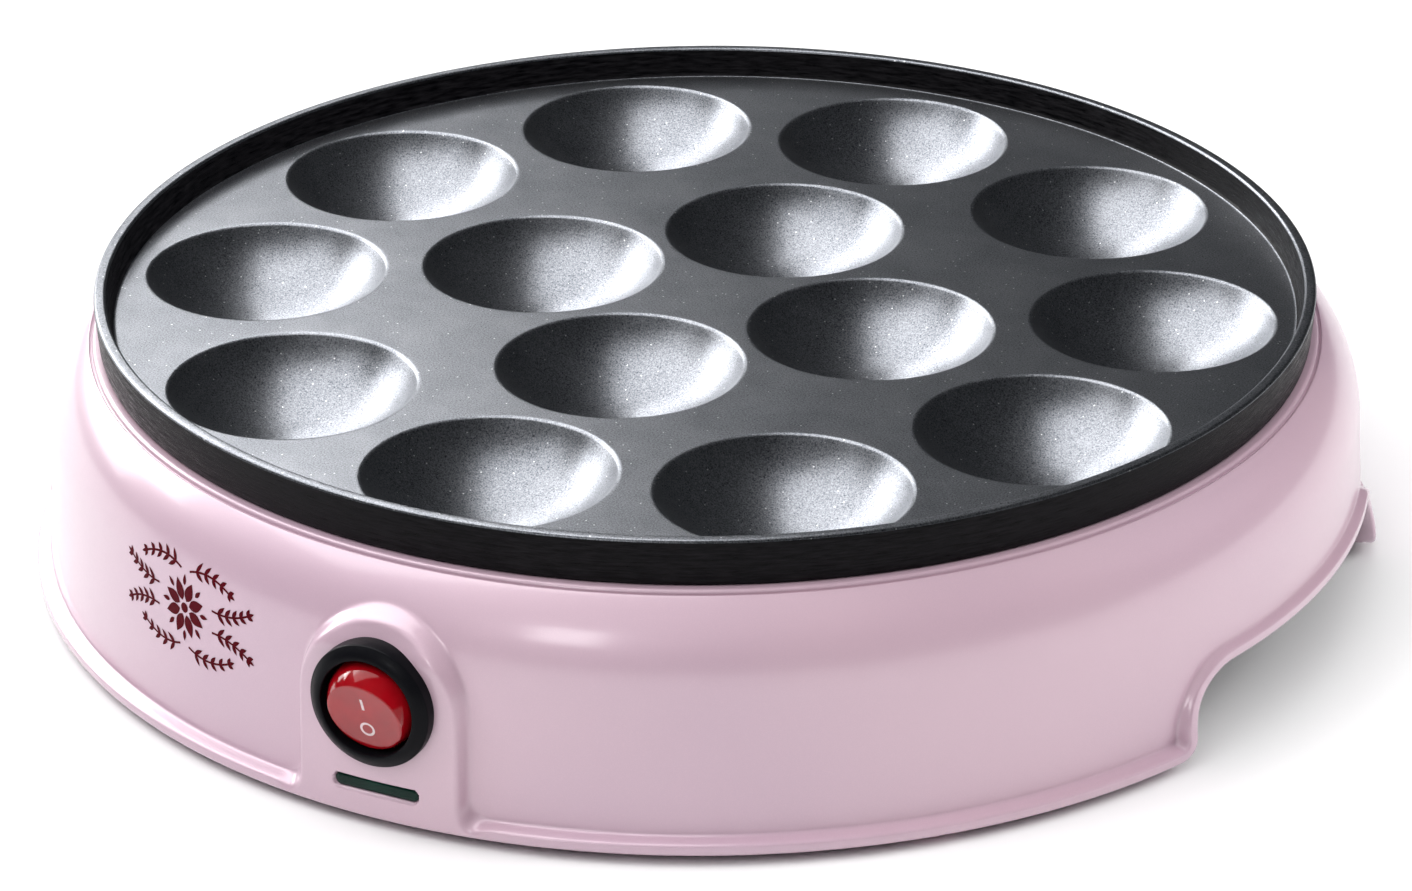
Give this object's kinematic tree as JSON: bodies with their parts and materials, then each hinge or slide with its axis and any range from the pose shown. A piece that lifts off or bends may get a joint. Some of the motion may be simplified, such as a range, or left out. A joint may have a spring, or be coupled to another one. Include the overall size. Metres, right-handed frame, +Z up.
{
  "type": "donut maker",
  "caption": "Round pink electric baker for small round cakes: black non-stick plate with shallow bowls, lit rocker switch, indicator lens and finger grips.",
  "frame": {"origin": "on the surface that it stands on, under the middle of the object", "axes": "+Z up, -Y to the front where the switch is, +X to the right seen from the front"},
  "size_m": [0.2532, 0.262, 0.0551],
  "materials": {
    "housing_pink": "pearl pink moulded plastic, glossy",
    "foot_pink": "soft pink",
    "plate_coating": "cast aluminium with a dark speckled non-stick coating, satin",
    "steel": "plain sheet and wire steel",
    "screw_steel": "zinc plated",
    "dark_plastic": "black plastic, satin",
    "base_plastic": "dark grey textured plastic",
    "rocker_red": "clear red plastic, glossy",
    "lens_green": "dark green lens, glossy",
    "brass": "bright",
    "ceramic": "off-white",
    "nylon": "off-white nylon",
    "lamp_glass": "small neon lamp",
    "lamp_led": "green lamp body",
    "wire_brown": "insulation",
    "wire_blue": "insulation",
    "wire_dark": "insulation",
    "wire_green": "insulation"
  },
  "bodies": {
    "root": {"housing": "housing_pink", "baking_plate": "plate_coating", "heating_element": "steel", "element_pins": "screw_steel", "element_clips": "steel", "heat_shield": "steel", "plate_spacers": "steel", "plate_screws": "screw_steel", "thermostat": "ceramic", "thermostat_bracket": "steel", "thermal_fuse": "ceramic", "base_cover": "base_plastic", "base_screws": "screw_steel", "foot_front_left": "foot_pink", "foot_front_right": "foot_pink", "foot_rear_left": "foot_pink", "foot_rear_right": "foot_pink", "switch_body": "dark_plastic", "switch_terminals": "brass", "switch_lamp": "lamp_glass", "indicator_lens": "lens_green", "indicator_lamp": "lamp_led", "lamp_clip": "dark_plastic", "cord_gland": "dark_plastic", "cord_clamp": "nylon", "clamp_screws": "screw_steel", "terminal_block": "nylon", "terminal_screws": "screw_steel", "live_wire": "wire_brown", "neutral_wire": "wire_blue", "lamp_wire": "wire_dark", "earth_wire": "wire_green", "earth_tag": "brass"},
    "rocker": {"rocker": "rocker_red", "rocker_plunger": "brass", "rocker_spring": "steel"},
    "contact_lever": {"contact_lever": "brass"}
  },
  "joints": [
    {"name": "rocker_tilt", "type": "hinge", "parent": "root", "child": "rocker", "pos_m": [0, -0.1243, 0.0244], "axis": [-1, 0, 0], "range_deg": [0, 32]},
    {"name": "contact_tilt", "type": "hinge", "parent": "root", "child": "contact_lever", "pos_m": [0, -0.1147, 0.0244], "axis": [1, 0, 0], "range_deg": [0, 20]}
  ],
  "couplings": [
    {"joint": "contact_tilt", "follows": "rocker_tilt", "ratio": 0.625}
  ]
}
